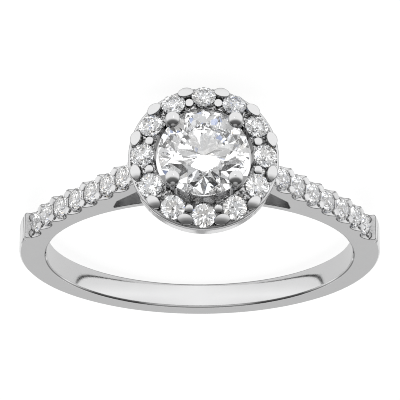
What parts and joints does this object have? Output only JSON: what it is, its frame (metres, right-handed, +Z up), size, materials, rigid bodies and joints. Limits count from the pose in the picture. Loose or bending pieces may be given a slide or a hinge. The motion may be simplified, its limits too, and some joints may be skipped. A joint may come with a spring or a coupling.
{
  "type": "halo ring",
  "caption": "Polished white-metal finger ring: a round stone in four prongs inside a halo of small round stones, with a row of stones along each cathedral shoulder.",
  "frame": {"origin": "centre of the finger hole, on its axis, half way along the width of the band", "axes": "The ring lies on its side on a floor parallel to XY. +Z is up, +Y runs from the head toward the bottom of the shank, and the finger hole's axis leans 8.02 degrees from +Z toward +Y. +X is across the finger."},
  "size_m": [0.02, 0.0244, 0.0078],
  "materials": {
    "white_metal": "polished white gold with a rhodium finish",
    "clear_stone": "polished facets"
  },
  "bodies": {
    "root": {"metal": "white_metal", "centre_stone": "clear_stone", "halo_stone_1": "clear_stone", "halo_stone_2": "clear_stone", "halo_stone_3": "clear_stone", "halo_stone_4": "clear_stone", "halo_stone_5": "clear_stone", "halo_stone_6": "clear_stone", "halo_stone_7": "clear_stone", "halo_stone_8": "clear_stone", "halo_stone_9": "clear_stone", "halo_stone_10": "clear_stone", "halo_stone_11": "clear_stone", "halo_stone_12": "clear_stone", "left_stone_1": "clear_stone", "left_stone_2": "clear_stone", "left_stone_3": "clear_stone", "left_stone_4": "clear_stone", "left_stone_5": "clear_stone", "left_stone_6": "clear_stone", "left_stone_7": "clear_stone", "right_stone_1": "clear_stone", "right_stone_2": "clear_stone", "right_stone_3": "clear_stone", "right_stone_4": "clear_stone", "right_stone_5": "clear_stone", "right_stone_6": "clear_stone", "right_stone_7": "clear_stone"}
  },
  "joints": []
}
